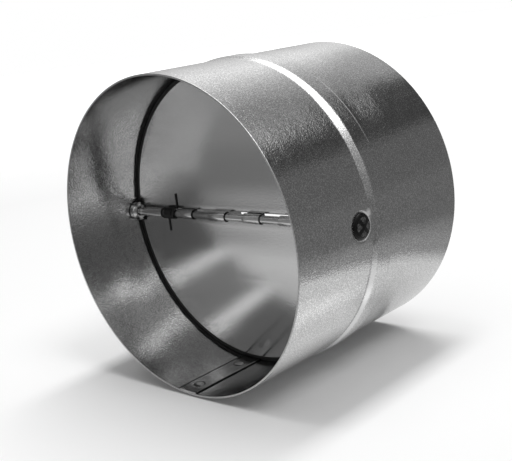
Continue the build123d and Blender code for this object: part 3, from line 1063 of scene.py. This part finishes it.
def lit_paper():
    """White paper that the camera sees run on for ever, and the metal sees only as far as it is lit."""
    material, tree, place = new_material("white_paper_floor")
    split = add_node(tree, "SeparateXYZ", {"Vector": place})
    metal_looks = add_node(tree, "LightPath").outputs["Is Glossy Ray"]
    middle = Vector((*lit_middle, floor_height)) * MM
    away = add_node(tree, "VectorMath", {0: place, 1: middle}, operation="DISTANCE").outputs["Value"]
    # the metal finds the shaded paper at its right side lit, as if by a white card that stands there
    lift = metal_looks
    for way, start, end, most in (("X", 25, 45, 1.0), ("X", 85, 70, 1.0), ("Y", 60, 30, 0.5)):
        share = add_node(tree, "MapRange", {0: split.outputs[way], 1: start * MM, 2: end * MM, 4: most})
        lift = add_node(tree, "Math", {0: lift, 1: share}, operation="MULTIPLY")
    # far off the paper glows by itself, so that it meets the surround without a line
    glow = add_node(tree, "MapRange", {0: away, 1: 500 * MM, 2: 2500 * MM, 3: 0.03, 4: 0.95})
    glow = add_node(tree, "Math", {0: glow, 1: lift}, operation="ADD")
    inputs = {"Base Color": linear("f0f0f0"), "Emission Strength": glow, **matt}
    paper = add_node(tree, "BsdfPrincipled", inputs)
    # dusk falls past the edge of the light, and early towards the front right and the front left
    dusk = add_node(tree, "MapRange", {0: away, 1: lit_reach[0] * MM, 2: lit_reach[1] * MM})
    for way, start, end, most in (((0.8, -0.6, 0), 60, 150, 1.0), ((-0.7, -0.7, 0), 70, 140, 0.5)):
        reach = add_node(tree, "VectorMath", {0: place, 1: way}, operation="DOT_PRODUCT").outputs["Value"]
        share = add_node(tree, "MapRange", {0: reach, 1: start * MM, 2: end * MM, 4: most})
        dusk = add_node(tree, "Math", {0: dusk, 1: share}, operation="MAXIMUM")
    dusk = add_node(tree, "MapRange", {0: dusk, 3: 0.2})
    dusk = add_node(tree, "Math", {0: metal_looks, 1: dusk}, operation="MULTIPLY")
    gloom = add_node(tree, "MapRange", {0: away, 1: 210 * MM, 2: 270 * MM, 3: 0.38, 4: 0.2})
    dark = add_node(tree, "Emission", {"Color": linear("ffffff"), "Strength": gloom})
    blend = add_node(tree, "MixShader", {0: dusk, 1: paper, 2: dark})
    add_node(tree, "OutputMaterial", {"Surface": blend})
    return material


def white_surround():
    """A backdrop that is pure light, so no lamp can shade it."""
    material, tree, _ = new_material("white_backdrop")
    glow = {"Base Color": linear("000000"), "Emission Strength": 1.0, **matt}
    add_node(tree, "OutputMaterial", {"Surface": add_node(tree, "BsdfPrincipled", glow)})
    return material


print("the metal sees lit paper as far as", lit_reach[1], "mm from", lit_middle)

# %% Floor and surround
surround_radius = 6000
all_but_camera = ("diffuse", "glossy", "transmission", "volume_scatter", "shadow")


def studio_piece(name, bm, material, hidden_from=()):
    """Put a piece of the studio on the stage and hide it from some kinds of ray."""
    mesh = bpy.data.meshes.new(name)
    bm.to_mesh(mesh)
    bm.free()
    mesh.materials.append(material)
    piece = bpy.data.objects.new(name, mesh)
    bpy.context.scene.collection.objects.link(piece)
    for ray in hidden_from:
        setattr(piece, "visible_" + ray, False)


bm = bmesh.new()
bmesh.ops.create_circle(bm, cap_ends=True, segments=96, radius=floor_radius * MM)
bmesh.ops.translate(bm, verts=bm.verts[:], vec=(0, 0, floor_height * MM))
studio_piece("studio_floor", bm, lit_paper())
bm = bmesh.new()
bmesh.ops.create_icosphere(bm, subdivisions=4, radius=surround_radius * MM)
studio_piece("studio_dome", bm, white_surround(), all_but_camera)
print("floor at", round(floor_height, 1), "mm, surround hidden from", all_but_camera)

# %% [markdown]
# ## The room that the metal mirrors
#
# Metal shows its room, and a tube shows it as stripes that run along it, because each line along the
# tube mirrors one angle of the room about the tube's own axis. So the room is painted in stripes
# about that axis, as a table of angles in degrees with a brightness each: 0 is level on the right,
# 90 overhead, 180 level on the left. What lies behind the tube comes back off its outside, and what
# lies before it comes back off the blades and the inner wall.

# %% Stripes of the room
brightest = 3.0
behind_near = [(-180, 0.6), (-30, 0.2), (48, 0.46), (61, 0.6), (72, 0.4), (82, 0.32), (91, 0.36)]
behind_near += [(101, 0.5), (111, 0.7), (124, 1.0), (136, 1.2), (150, 0.95), (165, 0.68), (180, 0.5)]
behind_far = [(-180, 0.6), (-30, 0.2), (70, 0.15), (82, 0.26), (92, 0.42), (102, 0.52), (118, 0.52)]
behind_far += [(132, 0.7), (144, 0.95), (160, 0.85), (180, 0.75)]
# in front hang two narrow strip lamps, which the inside of the tube catches by way of the blades
before = [(-180, 0.3), (-30, 0.15), (32, 0.17), (39, 1.5), (43, 1.5), (50, 0.4), (82, 0.4), (90, 1.7)]
before += [(93, 1.7), (100, 0.26), (130, 0.22), (180, 0.3)]
# and a long softbox overhead, which only the bead and the dimples lean far enough to catch
overhead = [(-20, 0.2), (12, 0.3), (36, 0.55), (44, 1.0), (52, 2.4), (118, 2.4), (134, 0.9), (150, 0.5)]
room_tables = (behind_near, behind_far, before, overhead)


def stripes(tree, angle, stops):
    """Brightness by the angle about the tube's axis, as a share of the brightest."""
    where = add_node(tree, "MapRange", {0: angle, 1: -180.0, 2: 180.0})
    ramp = add_node(tree, "ValToRGB", {"Fac": where})
    elements = ramp.color_ramp.elements
    for number, (degree, brightness) in enumerate(stops):
        position = (degree + 180) / 360
        element = elements[number] if number < 2 else elements.new(position)
        element.position = position
        element.color = (*[brightness / brightest] * 3, 1)
    return ramp


def room_light():
    """The striped studio round the object, which lights the metal and leaves the floor to the lamps."""
    world = bpy.data.worlds.new("studio")
    world.use_nodes = True
    tree = world.node_tree
    tree.nodes.clear()
    split = add_node(tree, "SeparateXYZ", {"Vector": add_node(tree, "TexCoord").outputs["Generated"]})
    depth = split.outputs["Y"]
    turn = add_node(tree, "Math", {0: split.outputs["Z"], 1: split.outputs["X"]}, operation="ARCTAN2")
    angle = add_node(tree, "Math", {0: turn}, operation="DEGREES")

    def switch(value, start, end, first, second):
        """One thing before the start, another past the end, and a soft change between them."""
        share = add_node(tree, "MapRange", {0: value, 1: start, 2: end})
        return add_node(tree, "Mix", {0: share, 2: first, 3: second}, data_type="FLOAT")

    near, far, front, lamp = (stripes(tree, angle, stops) for stops in room_tables)
    behind = switch(depth, 0.755, 0.79, near, far)
    # a dark gap between wall and floor widens away from the camera, so both its edges lie aslant
    for lean, start, end, gap in ((32.0, 49.0, 56.0, 0.025), (8.0, 31.0, 33.0, 0.056)):
        leaning = add_node(tree, "MapRange", {0: depth, 1: 0.72, 2: 0.8, 4: lean})
        upright = add_node(tree, "Math", {0: angle, 1: leaning}, operation="SUBTRACT")
        behind = switch(upright, start, end, gap, behind)
    # the softbox fades out beside the tube, so that the tube's own sides keep their grey
    most = add_node(tree, "MapRange", {0: depth, 1: 0.12, 2: 0.26, 3: 0.27, 4: 1.0})
    lamp = add_node(tree, "Math", {0: lamp, 1: most}, operation="MINIMUM")
    behind = switch(depth, 0.66, 0.6, behind, lamp)
    room = switch(depth, -0.2, -0.1, front, behind)
    light = add_node(tree, "Background", {"Color": room, "Strength": brightest})
    add_node(tree, "OutputWorld", {"Surface": light})
    world.cycles_visibility.diffuse = False
    bpy.context.scene.world = world


room_light()
print("stripes", [len(stops) for stops in room_tables])

# %% [markdown]
# ## The lamps over the floor
#
# The room above only shows in metal. The floor and its shadows need lamps of their own, which the
# metal in turn doesn't mirror. A long strip over the tube makes the dark core of the shadow, sharp
# along the tube and soft at its ends. A sun from the back right throws the light shadow on the left,
# and two very wide suns stand for the soft light of the whole room.


# %% Lamps
def stage_light(name, kind, toward=None, place=(0, 0, 0), **settings):
    """A lamp that no gloss mirrors. It shines straight down, or along a direction."""
    data = bpy.data.lights.new(name, kind)
    for setting, value in settings.items():
        setattr(data, setting, value)
    light = bpy.data.objects.new(name, data)
    if toward:
        light.rotation_euler = Vector(toward).to_track_quat("-Z", "Y").to_euler()
    light.location = place
    light.visible_glossy = False
    bpy.context.scene.collection.objects.link(light)
    return light


# the strip hangs a metre and a half up, and lies along the tube
over_tube = Vector((-40, 320, 1450)) * MM
strip = {"shape": "RECTANGLE", "size": 300 * MM, "size_y": 1100 * MM, "energy": 13.0}
lamps = [stage_light("overhead_strip", "AREA", None, over_tube, **strip)]
for name, toward, spread, strength in (
    ("back_right_sun", (-0.7, 0.1, -1.0), 22, 0.8),
    ("overhead_sun", None, 60, 0.8),
    ("wide_overhead_sun", None, 120, 0.45),
):
    lamps.append(stage_light(name, "SUN", toward, angle=radians(spread), energy=strength))
print("lamps", [lamp.name for lamp in lamps])

# %% [markdown]
# ## The camera
#
# The viewpoint and the lens follow the photograph: from the front right, a little above the shaft,
# and rolled a few degrees, since the tube lies turned on its side. The picture is shown with plain
# standard colours, so that white paper comes out white.

# %% Camera
stand_point = Vector((258.58, -255.35, 78.64)) * MM
look_point = Vector((6.17, 4.06, -5.98)) * MM
roll = -7.76
camera_data = bpy.data.cameras.new("photo_view")
camera_data.sensor_width = 36.0
camera_data.lens = 65.72
camera_data.clip_start = 10 * MM
camera = bpy.data.objects.new("photo_view", camera_data)
level = (look_point - stand_point).to_track_quat("-Z", "Y")
rolled = level @ Quaternion((0, 0, 1), radians(roll))
camera.matrix_world = Matrix.Translation(stand_point) @ rolled.to_matrix().to_4x4()
bpy.context.scene.collection.objects.link(camera)
bpy.context.scene.camera = camera
bpy.context.scene.view_settings.view_transform = "Standard"
bpy.context.view_layer.update()
print("camera", round((look_point - stand_point).length / MM), "mm from the point that it looks at")
